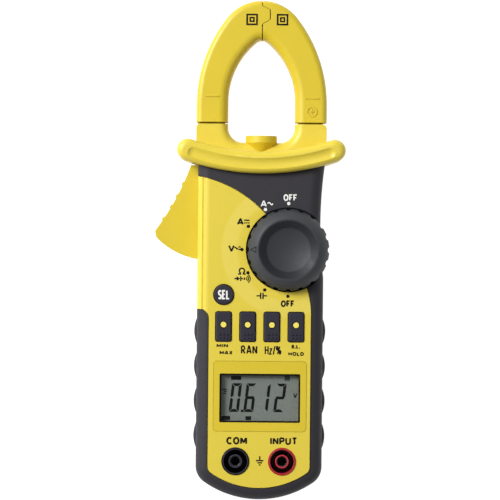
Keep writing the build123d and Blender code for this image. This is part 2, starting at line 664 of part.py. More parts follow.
DISH_SAG = 1.7
dish_low = KNOB_DISH_Z + 0.5 - DISH_SAG
dish_r = (KNOB_DISH_R**2 + DISH_SAG**2) / (2 * DISH_SAG)
with BuildPart() as knob_turned:
    with BuildSketch(Plane.XZ):
        with BuildLine():
            Polyline((0, KNOB_BASE_Z), (KNOB_R, KNOB_BASE_Z), (KNOB_R, KNOB_SKIRT_Z))
            ThreePointArc((KNOB_R, KNOB_SKIRT_Z), (16.9, 43.4), (KNOB_RIM_R + 0.7, KNOB_RIM_Z))
            Line((KNOB_RIM_R + 0.7, KNOB_RIM_Z), (KNOB_RIM_R, KNOB_RIM_Z))
            Line((KNOB_RIM_R, KNOB_RIM_Z), (KNOB_DISH_R, KNOB_DISH_Z + 0.5))
            RadiusArc((KNOB_DISH_R, KNOB_DISH_Z + 0.5), (0, dish_low), dish_r)
            Line((0, dish_low), (0, KNOB_BASE_Z))
        make_face()
    revolve(axis=Axis.Z)
    with BuildSketch(Plane.XY.offset(30)):
        with PolarLocations(KNOB_R + LOBE_CUT_R - LOBE_DEPTH, KNOB_LOBES):
            Circle(LOBE_CUT_R)
    extrude(amount=20, mode=Mode.SUBTRACT)
    add(rod(SHAFT_R, 31.0, 38.0, [(0, 0)]))
save("knob", knob_turned.part.moved(Location((KNOB_X, KNOB_Y, 0))))

HUB = [(KNOB_X, KNOB_Y)]
CARRIER_R, RING_R, NOTCHES, ROLLER_R = 8.6, 10.4, 12, 0.45
ROLLERS = [(KNOB_X - CARRIER_R - 0.25, KNOB_Y), (KNOB_X + CARRIER_R + 0.25, KNOB_Y)]

with BuildPart() as wiper_carrier:
    add(rod(CARRIER_R, 31.6, 33.4, HUB))
    add(rod(SHAFT_R, 0, 60, HUB), mode=Mode.SUBTRACT)
    add(rod(ROLLER_R, 0, 60, ROLLERS), mode=Mode.SUBTRACT)
save("wiper_carrier", wiper_carrier.part)

with BuildPart() as wiper_contacts:
    for turn in (0, 120, 240):
        with BuildSketch(Plane.XY.offset(30.5)):
            with Locations((KNOB_X, KNOB_Y)):
                with PolarLocations(6.6, 1, start_angle=turn):
                    SlotOverall(3.4, 1.2)
        extrude(amount=1.1)
save("wiper_contacts", wiper_contacts.part)

with BuildPart() as detent_ring:
    add(rod(RING_R, 31.6, 33.7, HUB))
    add(rod(CARRIER_R + 0.9, 30, 40, HUB), mode=Mode.SUBTRACT)
    with BuildSketch(Plane.XY.offset(30)):
        with Locations((KNOB_X, KNOB_Y)):
            with PolarLocations(CARRIER_R + 0.9, NOTCHES):
                Circle(0.8)
    extrude(amount=10, mode=Mode.SUBTRACT)
save("detent_ring", detent_ring.part)

save("detent_rollers", rod(ROLLER_R, 31.8, 33.2, ROLLERS))

with BuildPart() as knob_clip:
    add(rod(SHAFT_R + 1.6, 33.45, 33.85, HUB))
    add(rod(SHAFT_R, 0, 60, HUB), mode=Mode.SUBTRACT)
    add(block(KNOB_X - 1.5, KNOB_X + 1.5, KNOB_Y - 9, KNOB_Y - 3, 30, 40), mode=Mode.SUBTRACT)
save("knob_clip", knob_clip.part)


# ---------------------------------------------------------------------------
# Push keys
# ---------------------------------------------------------------------------

FLANGE_TOP_Z, FLANGE_T, FLANGE_OVER = INNER_Z - 0.3, 0.8, 0.65


def key_cap(x, y, width, height, corner_r):
    """A rectangular key: cap, retaining flange and stem."""
    half_w, half_h = width / 2, height / 2
    with BuildPart() as key:
        add(block(x - half_w, x + half_w, y - half_h, y + half_h, FLANGE_TOP_Z - FLANGE_T, KEY_TOP_Z, corner_r))
        fillet(key.faces().sort_by(Axis.Z)[-1].edges(), 0.6)
        over = FLANGE_OVER
        add(block(x - half_w - over, x + half_w + over, y - half_h - over, y + half_h + over,
                  FLANGE_TOP_Z - FLANGE_T, FLANGE_TOP_Z, corner_r))
        add(rod(1.6, KEY_STEM_Z, FLANGE_TOP_Z, [(x, y)]))
    return key.part


for i, x in enumerate(KEY_XS):
    save("key_" + str(i + 1), key_cap(x, KEY_Y, KEY_W, KEY_H, 1.0))

with BuildPart() as select_key:
    add(rod(SELECT_R, FLANGE_TOP_Z - FLANGE_T, KEY_TOP_Z, [(SELECT_X, SELECT_Y)]))
    fillet(select_key.faces().sort_by(Axis.Z)[-1].edges(), 0.6)
    add(rod(SELECT_R + FLANGE_OVER, FLANGE_TOP_Z - FLANGE_T, FLANGE_TOP_Z, [(SELECT_X, SELECT_Y)]))
    add(rod(1.6, KEY_STEM_Z, FLANGE_TOP_Z, [(SELECT_X, SELECT_Y)]))
save("select_key", select_key.part)


# ---------------------------------------------------------------------------
# Display
# ---------------------------------------------------------------------------

PCB_TOP_Z = PCB_Z + PCB_T


def centred(width, height, centre_x, centre_y, z_low, z_high, corner_r=0.0):
    """An upright block given by its plan size and centre."""
    return block(centre_x - width / 2, centre_x + width / 2, centre_y - height / 2, centre_y + height / 2,
                 z_low, z_high, corner_r)


with BuildPart() as display_panel:
    add(centred(PANEL_W, PANEL_H, LCD_X, PANEL_Y, FACE_Z - PANEL_T, FACE_Z + 0.15, 1.5))
    add(centred(LCD_W, LCD_H, LCD_X, LCD_Y, 20, 60, 0.6), mode=Mode.SUBTRACT)
save("display_panel", display_panel.part)
save("display_window", centred(LCD_W, LCD_H, LCD_X, LCD_Y, FACE_Z - PANEL_T, FACE_Z, 0.6))

GLASS_W, GLASS_H = 43.0, 27.0
save("lcd_glass", centred(GLASS_W, GLASS_H, LCD_X, LCD_Y, 31.7, 33.7))
save("lcd_backlight", centred(40.0, 21.0, LCD_X, LCD_Y, PCB_TOP_Z, 31.6))
with BuildPart() as zebra_strips:
    with BuildSketch(Plane.XY.offset(PCB_TOP_Z)):
        with Locations((LCD_X, LCD_Y - 12.0), (LCD_X, LCD_Y + 12.0)):
            Rectangle(40.0, 2.2)
    extrude(amount=31.7 - PCB_TOP_Z)
save("zebra_strips", zebra_strips.part)
with BuildPart() as lcd_frame:
    add(centred(GLASS_W + 2.8, GLASS_H + 2.8, LCD_X, LCD_Y, PCB_TOP_Z, INNER_Z - 0.1, 1.0))
    add(centred(GLASS_W + 0.4, GLASS_H + 0.4, LCD_X, LCD_Y, 20, 60), mode=Mode.SUBTRACT)
save("lcd_frame", lcd_frame.part)


# ---------------------------------------------------------------------------
# Input sockets
# ---------------------------------------------------------------------------

def socket_body(x):
    """Shrouded 4 mm safety socket: rim, deep annular well and centre post."""
    spot = [(x, JACK_Y)]
    with BuildPart() as body:
        add(rod(JACK_R, JACK_LOW_Z, JACK_TOP_Z, spot))
        add(rod(JACK_RIM_R, FACE_Z, JACK_TOP_Z, spot))
        fillet(body.faces().sort_by(Axis.Z)[-1].edges(), 0.3)
        add(rod(JACK_BORE_R, JACK_LOW_Z + 2.0, 60, spot), mode=Mode.SUBTRACT)
        add(rod(POST_R, JACK_LOW_Z, POST_TOP_Z, spot))
        add(rod(PIN_R + 0.45, 10, 60, spot), mode=Mode.SUBTRACT)
    return body.part


def socket_sleeve(x):
    """Brass contact sleeve inside the centre post, open at the front."""
    spot = [(x, JACK_Y)]
    with BuildPart() as sleeve:
        add(rod(PIN_R + 0.45, JACK_LOW_Z, POST_TOP_Z - 0.6, spot))
        add(rod(PIN_R, JACK_LOW_Z + 1.6, 60, spot), mode=Mode.SUBTRACT)
    return sleeve.part


for name, x in (("com", -JACK_X), ("input", JACK_X)):
    save(name + "_socket", socket_body(x))
    save(name + "_contact_sleeve", socket_sleeve(x))


# ---------------------------------------------------------------------------
# Circuit board and what it carries
# ---------------------------------------------------------------------------

with BuildPart() as main_board:
    with BuildSketch(Plane.XY.offset(PCB_Z)):
        add(body_outline(INNER + 0.5))
        with Locations((0, 95)):
            Rectangle(80, 50, mode=Mode.SUBTRACT)
        with Locations(*BOSSES):
            Circle(BOSS_R + 0.3, mode=Mode.SUBTRACT)
        with Locations(*JACKS):
            Circle(JACK_R + 0.3, mode=Mode.SUBTRACT)
        with Locations(*HUB):
            Circle(2.0, mode=Mode.SUBTRACT)
    extrude(amount=PCB_T)
save("main_board", main_board.part)

save("key_domes", rod(2.6, PCB_TOP_Z, PCB_TOP_Z + 0.3, KEYS + [(SELECT_X, SELECT_Y)]))

with BuildPart() as meter_chip:
    add(centred(14.0, 14.0, 0, 21.0, PCB_Z - 1.6, PCB_Z))
save("meter_chip", meter_chip.part)
save("buzzer", rod(6.0, PCB_Z - 6.5, PCB_Z, [(19.0, 22.0)]))
with BuildPart() as input_resistors:
    for x in (-2.8, 0.0, 2.8):
        with BuildSketch(Plane.XZ.offset(55.0)):
            with Locations((x, PCB_Z - 1.3)):
                Circle(1.25)
        extrude(amount=8.0)
save("input_resistors", input_resistors.part)
save("surge_limiter", rod(3.2, PCB_Z - 3.6, PCB_Z, [(0.0, -50.5)]))
save("hall_sensor", block(-15.4, -13.8, 79.8, 84.2, PART_Z - 2.0, PART_Z + 2.0))

with BuildPart() as sensor_lead:
    with BuildLine(Plane.YZ.offset(-14.6)) as lead_path:
        FilletPolyline((79.8, PART_Z), (75.5, PART_Z), (69.0, 24.0), (69.0, PCB_Z), radius=2.0)
    with BuildSketch(Plane(lead_path.line @ 0, z_dir=lead_path.line % 0)):
        Circle(0.7)
    sweep(path=lead_path.wires()[0])
save("sensor_lead", sensor_lead.part)


# ---------------------------------------------------------------------------
# Battery, cover and screws
# ---------------------------------------------------------------------------

with BuildPart() as battery:
    add(centred(BATTERY_W, BATTERY_L, 0, BATTERY_Y, 3.0, 3.0 + BATTERY_T, 2.0))
save("battery", battery.part)
with BuildPart() as battery_snap:
    add(centred(25.0, 2.4, 0, BATTERY_Y + BATTERY_L / 2 + 1.3, 5.0, 17.0, 1.0))
save("battery_snap", battery_snap.part)

LEAD_R, SNAP_Y = 0.7, BATTERY_Y + BATTERY_L / 2 + 1.3
with BuildPart() as battery_leads:
    for x in (-6.0, 6.0):
        with BuildLine(Plane.YZ.offset(x)) as run:
            FilletPolyline((SNAP_Y, 17.0), (SNAP_Y, 21.6), (12.5, 24.5), (12.5, PCB_Z), radius=1.6)
        with BuildSketch(Plane(run.line @ 0, z_dir=run.line % 0)):
            Circle(LEAD_R)
        sweep(path=run.wires()[0])
save("battery_leads", battery_leads.part)

with BuildPart() as battery_cover:
    add(centred(DOOR_W - 0.4, DOOR_HIGH_Y - DOOR_LOW_Y - 0.4, 0, (DOOR_HIGH_Y + DOOR_LOW_Y) / 2, 0, DOOR_T, 1.8))
    add(rod(SCREW_HEAD_R + 0.1, -1, 0.9, [(0, -47.4)]), mode=Mode.SUBTRACT)
    add(rod(SCREW_R + 0.1, -1, 5, [(0, -47.4)]), mode=Mode.SUBTRACT)
save("battery_cover", battery_cover.part)


def screws(places, z_head, head_t, length):
    """Cross-head screws driven in from the rear."""
    with BuildPart() as group:
        add(rod(SCREW_HEAD_R, z_head, z_head + head_t, places))
        add(rod(SCREW_R, z_head, z_head + head_t + length, places))
        for width, height in ((2.8, 0.7), (0.7, 2.8)):
            with BuildSketch(Plane.XY.offset(z_head)):
                with Locations(*places):
                    Rectangle(width, height)
            extrude(amount=head_t * 0.7, mode=Mode.SUBTRACT)
    return group.part


save("case_screws", screws(BOSSES, 2.4, 1.6, 26.0))
save("battery_cover_screw", screws([(0, -47.4)], 0.1, 0.8, 7.0))
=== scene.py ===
import json
import math

import bmesh
import bpy
from mathutils import Euler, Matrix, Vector


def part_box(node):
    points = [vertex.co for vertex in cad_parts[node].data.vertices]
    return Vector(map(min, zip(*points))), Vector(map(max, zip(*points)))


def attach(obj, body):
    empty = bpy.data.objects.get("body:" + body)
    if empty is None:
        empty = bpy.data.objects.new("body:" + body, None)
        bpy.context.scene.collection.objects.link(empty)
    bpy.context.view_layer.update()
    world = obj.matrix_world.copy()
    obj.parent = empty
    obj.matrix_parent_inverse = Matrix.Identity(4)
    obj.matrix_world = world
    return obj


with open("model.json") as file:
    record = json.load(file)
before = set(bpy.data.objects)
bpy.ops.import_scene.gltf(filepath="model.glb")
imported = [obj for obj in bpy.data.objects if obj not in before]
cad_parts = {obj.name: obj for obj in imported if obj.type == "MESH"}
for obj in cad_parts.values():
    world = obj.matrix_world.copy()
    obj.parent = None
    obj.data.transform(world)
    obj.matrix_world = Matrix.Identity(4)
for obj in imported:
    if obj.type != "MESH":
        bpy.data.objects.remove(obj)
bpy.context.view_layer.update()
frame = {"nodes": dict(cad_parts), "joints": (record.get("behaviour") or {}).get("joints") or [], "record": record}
nodes = frame["nodes"]

MM = 0.001
ROOT, JAW, DIAL = "root", "jaw_lever", "dial"

# ---------------------------------------------------------------------------
# Places worked out from the frame, in metres
# ---------------------------------------------------------------------------

HIGH = 1
window_low, window_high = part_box("display_window")
dial_joint = next(joint for joint in frame["joints"] if joint["name"] == "dial_turn")

KNOB_X, KNOB_Y = dial_joint["pos_m"][:2]
FACE_Z = window_high.z
SKIN_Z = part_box("front_skin")[HIGH].z
GLASS_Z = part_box("lcd_glass")[HIGH].z
JAW_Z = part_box("fixed_jaw_front_shell")[HIGH].z
LCD_X = (window_low.x + window_high.x) / 2
LCD_Y = (window_low.y + window_high.y) / 2
LCD_W = window_high.x - window_low.x
LCD_H = window_high.y - window_low.y
INK = 0.05 * MM     # thickness of printing

# ---------------------------------------------------------------------------
# Materials
# ---------------------------------------------------------------------------

def grey(value):
    """A grey as a colour."""
    return (value, value, value, 1.0)


def rgb(red, green, blue):
    """A linear colour."""
    return (red, green, blue, 1.0)


def shaded(colour, factor):
    """The colour, lighter or darker."""
    return tuple(min(1.0, part * factor) for part in colour[:3]) + (1.0,)


def noise(tree, place, scale, detail=3.0, roughness=0.55):
    """A noise texture in the object's own space."""
    node = tree.nodes.new("ShaderNodeTexNoise")
    node.inputs["Scale"].default_value = scale
    node.inputs["Detail"].default_value = detail
    node.inputs["Roughness"].default_value = roughness
    tree.links.new(place.outputs["Object"], node.inputs["Vector"])
    return node


def ramp(tree, source, stops):
    """A colour ramp over a value; stops are (position, colour)."""
    node = tree.nodes.new("ShaderNodeValToRGB")
    points = node.color_ramp.elements
    while len(points) < len(stops):
        points.new(0.5)
    for point, (position, colour) in zip(points, stops):
        point.position = position
        point.color = colour
    tree.links.new(source, node.inputs["Fac"])
    return node


def span(tree, source, low, high):
    """A value spread from low to high."""
    node = tree.nodes.new("ShaderNodeMapRange")
    node.inputs["From Min"].default_value = 0.3
    node.inputs["From Max"].default_value = 0.7
    node.inputs["To Min"].default_value = low
    node.inputs["To Max"].default_value = high
    tree.links.new(source, node.inputs["Value"])
    return node


def times(tree, a, b):
    """The product of two values."""
    node = tree.nodes.new("ShaderNodeMath")
    node.operation = "MULTIPLY"
    tree.links.new(a, node.inputs[0])
    tree.links.new(b, node.inputs[1])
    return node.outputs["Value"]


def blended(tree, factor, a, b):
    """Colour a turning to colour b with the factor; a and b are sockets or colours."""
    node = tree.nodes.new("ShaderNodeMix")
    node.data_type = "RGBA"
    tree.links.new(factor, node.inputs["Factor"])
    for name, source in (("A", a), ("B", b)):
        if isinstance(source, tuple):
            node.inputs[name].default_value = source
        else:
            tree.links.new(source, node.inputs[name])
    return node.outputs["Result"]


def round_zones(tree, place, centre, zones):
    """Colours by distance from an upright axis; zones are (radius in millimetres, colour)."""
    reach = zones[-1][0] * MM
    shift = tree.nodes.new("ShaderNodeVectorMath")
    shift.operation = "SUBTRACT"
    shift.inputs[1].default_value = (centre[0], centre[1], 0.0)
    flatten = tree.nodes.new("ShaderNodeVectorMath")
    flatten.operation = "MULTIPLY"
    flatten.inputs[1].default_value = (1.0 / reach, 1.0 / reach, 0.0)
    length = tree.nodes.new("ShaderNodeVectorMath")
    length.operation = "LENGTH"
    tree.links.new(place.outputs["Object"], shift.inputs[0])
    tree.links.new(shift.outputs["Vector"], flatten.inputs[0])
    tree.links.new(flatten.outputs["Vector"], length.inputs[0])
    return ramp(tree, length.outputs["Value"], [(radius * MM / reach, colour) for radius, colour in zones])


# noise scales of the shared texture, from broad to fine
DRIFT, PATCH, GLOSS, FLECKS = 38.0, 160.0, 420.0, 650.0


def moulded(name, colour, roughness, grain=4500.0, grain_depth=0.02, variation=0.06, edge=0.25,
            wear_and_highlight=1.25, metallic=0.0, shine=0.5, zones=None):
    """Moulded or machined stock: fine grain, drifting colour and gloss, and soft edges lightened in patches,
    partly as rubbed wear and partly as painted edge highlight.
    """
    material = bpy.data.materials.new(name)
    material.use_nodes = True
    tree = material.node_tree
    shader = tree.nodes["Principled BSDF"]
    shader.inputs["Metallic"].default_value = metallic
    shader.inputs["Specular IOR Level"].default_value = shine
    place = tree.nodes.new("ShaderNodeTexCoord")
    if zones:
        base = round_zones(tree, place, (KNOB_X, KNOB_Y), zones).outputs["Color"]
    else:
        drift = noise(tree, place, DRIFT, 4.0)
        drifted = span(tree, drift.outputs["Fac"], 0.0, 1.0).outputs["Result"]
        base = blended(tree, drifted, shaded(colour, 1.0 - variation), colour)
    flecks = noise(tree, place, FLECKS, 5.0, 0.75)
    speckle = ramp(tree, flecks.outputs["Fac"], [(0.35, grey(0.0)), (0.75, grey(0.22))])
    mottled = blended(tree, speckle.outputs["Color"], base, shaded(colour, 1.0 - 2.0 * variation))
    bevel = tree.nodes.new("ShaderNodeBevel")
    bevel.samples = 4
    bevel.inputs["Radius"].default_value = edge * MM
    surface = tree.nodes.new("ShaderNodeNewGeometry")
    facing = tree.nodes.new("ShaderNodeVectorMath")
    facing.operation = "DOT_PRODUCT"
    tree.links.new(bevel.outputs["Normal"], facing.inputs[0])
    tree.links.new(surface.outputs["Normal"], facing.inputs[1])
    # edge mask that lightens the colour: partly rubbed wear, partly painted edge highlight
    rubbed_and_lit_edges = ramp(tree, facing.outputs["Value"], [(0.80, grey(1.0)), (0.985, grey(0.0))])
    patch = noise(tree, place, PATCH, 5.0, 0.7)
    patchy_rubbed_and_lit_edges = times(tree, rubbed_and_lit_edges.outputs["Color"], patch.outputs["Fac"])
    tree.links.new(blended(tree, patchy_rubbed_and_lit_edges, mottled, shaded(colour, wear_and_highlight)), shader.inputs["Base Color"])
    gloss = noise(tree, place, GLOSS, 3.0)
    tree.links.new(span(tree, gloss.outputs["Fac"], roughness - 0.05, roughness + 0.07).outputs["Result"],
                   shader.inputs["Roughness"])
    fine = noise(tree, place, grain, 2.0, 0.6)
    bump = tree.nodes.new("ShaderNodeBump")
    bump.inputs["Strength"].default_value = 0.35
    bump.inputs["Distance"].default_value = grain_depth * MM
    tree.links.new(fine.outputs["Fac"], bump.inputs["Height"])
    tree.links.new(bevel.outputs["Normal"], bump.inputs["Normal"])
    tree.links.new(bump.outputs["Normal"], shader.inputs["Normal"])
    return material


def clear(name, tint, alpha):
    """Thin clear plastic with faint haze."""
    material = bpy.data.materials.new(name)
    material.use_nodes = True
    tree = material.node_tree
    shader = tree.nodes["Principled BSDF"]
    place = tree.nodes.new("ShaderNodeTexCoord")
    haze = noise(tree, place, 90.0, 3.0)
    tree.links.new(ramp(tree, haze.outputs["Fac"], [(0.3, tint), (0.7, shaded(tint, 0.9))]).outputs["Color"],
                   shader.inputs["Base Color"])
    tree.links.new(span(tree, haze.outputs["Fac"], 0.05, 0.12).outputs["Result"], shader.inputs["Roughness"])
    shader.inputs["Alpha"].default_value = alpha
    shader.inputs["IOR"].default_value = 1.49
    return material


YELLOW = rgb(0.670, 0.508, 0.024)
FACE_YELLOW = rgb(0.700, 0.552, 0.050)
# lighter yellow for the band round the dial: painted highlight
HIGHLIGHT_YELLOW = rgb(0.725, 0.590, 0.085)
SKIRT_GREY = rgb(0.046, 0.049, 0.055)
# darkest knob grey, used as painted shade on the knob's inner ring and outer edge
KNOB_SHADE_GREY = rgb(0.0165, 0.017, 0.021)
DISH_GREY = rgb(0.036, 0.038, 0.045)

# Colours by distance in millimetres from the knob's axis: a pale band on the face round the dial marks, which is a
# painted highlight, and the knob's dish, dark ring and skirt, where the dark ring and the dark outer edge of the
# skirt are painted shade.
FACE_HIGHLIGHT_ZONES = [(0.0, FACE_YELLOW), (22.5, FACE_YELLOW), (24.0, HIGHLIGHT_YELLOW), (30.0, HIGHLIGHT_YELLOW),
              (31.0, FACE_YELLOW), (120.0, FACE_YELLOW)]
KNOB_TONES_AND_SHADE = [(0.0, DISH_GREY), (9.9, DISH_GREY), (10.3, KNOB_SHADE_GREY), (13.0, KNOB_SHADE_GREY), (14.3, SKIRT_GREY),
              (17.4, SKIRT_GREY), (19.0, KNOB_SHADE_GREY)]

yellow = moulded("yellow_abs", YELLOW, 0.40, wear_and_highlight=1.12)
yellow_face = moulded("yellow_face", FACE_YELLOW, 0.40, wear_and_highlight=1.15, zones=FACE_HIGHLIGHT_ZONES)
yellow_light = moulded("yellow_print", rgb(0.86, 0.72, 0.12), 0.45)
dark = moulded("dark_elastomer", rgb(0.030, 0.028, 0.034), 0.62, grain=3200.0, grain_depth=0.03, wear_and_highlight=1.6,
               shine=0.28)
# knob material: its dark inner ring and dark outer edge are painted shade
knob_grey = moulded("knob_moulding_and_painted_shade", SKIRT_GREY, 0.52, wear_and_highlight=1.7, edge=0.3, shine=0.3, zones=KNOB_TONES_AND_SHADE)
key_dark = moulded("key_elastomer", rgb(0.022, 0.020, 0.032), 0.55, wear_and_highlight=1.5, edge=0.5, shine=0.3)
# black socket plastic: its edges are lightened sevenfold, which paints highlight lines round the socket as well as
# wear
black_gloss = moulded("black_socket", rgb(0.004, 0.004, 0.007), 0.30, grain_depth=0.004, wear_and_highlight=7.0, edge=0.3,
                      shine=0.3)
# lighter copies of the black and red socket plastics, used for painted highlights on the socket posts and rims
socket_lit_grey = moulded("socket_highlight_grey", rgb(0.035, 0.031, 0.045), 0.35, grain_depth=0.004)
socket_lit_red = moulded("socket_highlight_red", rgb(0.50, 0.030, 0.045), 0.30, grain_depth=0.004)
# near-black and matt: used as painted shadow in the well round the knob
well_shadow_black = moulded("well_shadow_black", rgb(0.004, 0.004, 0.005), 0.8, shine=0.1)
red_gloss = moulded("red_socket", rgb(0.34, 0.012, 0.018), 0.26, grain_depth=0.004, wear_and_highlight=1.5, edge=0.35)
ink_black = moulded("ink_black", rgb(0.006, 0.005, 0.005), 0.6, grain_depth=0.004, edge=0.02, shine=0.15)
ink_white = moulded("ink_white", rgb(0.84, 0.84, 0.80), 0.5, grain_depth=0.004, edge=0.02, wear_and_highlight=1.0)
lcd_grey = moulded("lcd_grey", rgb(0.250, 0.280, 0.258), 0.30, grain_depth=0.003, variation=0.05, edge=0.02)
lcd_ink = moulded("lcd_segment", rgb(0.004, 0.005, 0.005), 0.5, grain_depth=0.003, edge=0.02, shine=0.1)
window_clear = clear("window_clear", rgb(0.02, 0.022, 0.02), 0.10)
steel = moulded("zinc_steel", rgb(0.55, 0.56, 0.58), 0.30, grain_depth=0.006, metallic=1.0)
# the contacts are coloured near black as painted shade of their deep bores, and their edges are lightened strongly
# as painted highlight
shaded_contact_metal = moulded("contact_painted_shade", rgb(0.052, 0.048, 0.050), 0.42, grain_depth=0.006, metallic=0.6,
                        wear_and_highlight=5.0)
copper = moulded("enamelled_copper", rgb(0.62, 0.24, 0.09), 0.32, grain=900.0, metallic=1.0)
iron = moulded("laminated_iron", rgb(0.22, 0.22, 0.235), 0.45, grain=1200.0, metallic=0.9)
board = moulded("board_green", rgb(0.02, 0.14, 0.055), 0.35, grain=700.0)
white = moulded("natural_nylon", rgb(0.72, 0.71, 0.66), 0.5)
rubber_grey = moulded("zebra_rubber", rgb(0.2, 0.2, 0.22), 0.7)
cell = moulded("battery_sleeve", rgb(0.06, 0.07, 0.09), 0.35)

SLOT_MATERIALS = {
    "yellow_shell": yellow, "dark_skin": dark, "knob_plastic": key_dark, "black_plastic": black_gloss,
    "red_plastic": red_gloss, "clear_window": window_clear, "lcd_panel": lcd_grey, "white_plastic": white,
    "zebra_rubber": rubber_grey, "board_green": board, "core_iron": iron, "copper_winding": copper,
    "brass_contact": shaded_contact_metal, "steel_part": steel, "battery_shell": cell,
}

NODE_MATERIALS = {"front_housing": yellow_face, "knob": knob_grey}
node_slots = {part["node"]: part["material_slot"] for part in frame["record"]["subparts"]}
for node_name, node_object in nodes.items():
    finish = NODE_MATERIALS.get(node_name, SLOT_MATERIALS[node_slots[node_name]])
    for place in node_object.material_slots:
        place.material = finish
    if not node_object.material_slots:
        node_object.data.materials.append(finish)


# ---------------------------------------------------------------------------
# Building pieces
# ---------------------------------------------------------------------------

def piece(name, build, material, body):
    """Turns a finished bmesh into a flat-shaded piece of the object, and frees the bmesh."""
    bmesh.ops.recalc_face_normals(build, faces=build.faces)
    mesh = bpy.data.meshes.new(name)
    build.to_mesh(mesh)
    build.free()
    mesh.materials.append(material)
    added = bpy.data.objects.new(name, mesh)
    bpy.context.scene.collection.objects.link(added)
    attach(added, body)
    return added


def close_ring(build, low, high):
    """The side wall of a plate between its lower and upper outline."""
    count = len(low)
    for i in range(count):
        j = (i + 1) % count
        build.faces.new((low[i], low[j], high[j], high[i]))


def add_outline(build, outline, z, thick):
    """A flat plate from its outline."""
    low = [build.verts.new((x, y, z)) for x, y in outline]
    high = [build.verts.new((x, y, z + thick)) for x, y in outline]
    build.faces.new(high)
    build.faces.new(low[::-1])
    close_ring(build, low, high)


SHARPEST_MITRE = 0.45


def offset_sides(points, half, closed):
    """The two sides of a line of the given half width, mitred at its corners."""
    count = len(points)
    left, right = [], []
    for i, (x, y) in enumerate(points):
        back = points[i - 1] if closed or i > 0 else None
        ahead = points[(i + 1) % count] if closed or i < count - 1 else None
        directions = []
        for start, end in ((back, (x, y)), ((x, y), ahead)):
            if start is not None and end is not None:
                run, rise = end[0] - start[0], end[1] - start[1]
                length = math.hypot(run, rise)
                directions.append((run / length, rise / length))
        ux = sum(d[0] for d in directions)
        uy = sum(d[1] for d in directions)
        length = math.hypot(ux, uy)
        ux, uy = ux / length, uy / length
        reach = half / max(SHARPEST_MITRE, ux * directions[0][0] + uy * directions[0][1])
        left.append((x - uy * reach, y + ux * reach))
        right.append((x + uy * reach, y - ux * reach))
    return left, right


def add_line(build, path, z, thick):
    """A ribbon along a path, which is (points, width, closed); z is a height, or a function of x and y."""
    points, width, closed = path
    left, right = offset_sides(points, width / 2, closed)
    height = z if callable(z) else lambda x, y: z
    rows = []
    for (lx, ly), (rx, ry) in zip(left, right):
        lz, rz = height(lx, ly), height(rx, ry)
        rows.append([build.verts.new((lx, ly, lz + thick)), build.verts.new((rx, ry, rz + thick)),
                     build.verts.new((rx, ry, rz)), build.verts.new((lx, ly, lz))])
    count = len(rows)
    for i in range(count if closed else count - 1):
        a, b = rows[i], rows[(i + 1) % count]
        for j in range(4):
            k = (j + 1) % 4
            build.faces.new((a[j], a[k], b[k], b[j]))
    if not closed:
        build.faces.new(rows[0])
        build.faces.new(rows[-1][::-1])


def marks(name, z, material, outlines=(), lines=(), body=ROOT, thick=INK):
    """A piece of closed plates and ribbons standing on height z, in plan coordinates in metres."""
    build = bmesh.new()
    for outline in outlines:
        add_outline(build, outline, z, thick)
    for path in lines:
        add_line(build, path, z, thick)
    return piece(name, build, material, body)


def placed(points, x, y):
    """Points in millimetres, moved to a place in millimetres, as metres."""
    return [((x + u) * MM, (y + v) * MM) for u, v in points]


def line(points, width, closed=False, x=0.0, y=0.0):
    """A ribbon given in millimetres."""
    return (placed(points, x, y), width * MM, closed)


def bar(x, y, width, height):
    """A rectangle by its centre."""
    w, h = width / 2, height / 2
    return placed([(-w, -h), (w, -h), (w, h), (-w, h)], x, y)


def disc(x, y, radius, count=32):
    """A round dot."""
    steps = [2 * math.pi * i / count for i in range(count)]
    return placed([(radius * math.cos(t), radius * math.sin(t)) for t in steps], x, y)


def oval(x, y, radius_x, radius_y, start, end, count=14):
    """Points along part of an oval, between two angles in degrees."""
    turns = [math.radians(start + (end - start) * i / count) for i in range(count + 1)]
    return [(x + radius_x * math.cos(turn), y + radius_y * math.sin(turn)) for turn in turns]


def arc_points(x, y, radius, start, end, count):
    """Points along an arc, in millimetres, between two angles in degrees."""
    return oval(x, y, radius, radius, start, end, count)


def bowl(y_low, y_high, width):
    """A stem-to-stem bowl, as on P or B."""
    r = (y_high - y_low) / 2
    return [(0, y_low)] + oval(width - r, y_low + r, r, r, -90, 90) + [(0, y_high)]


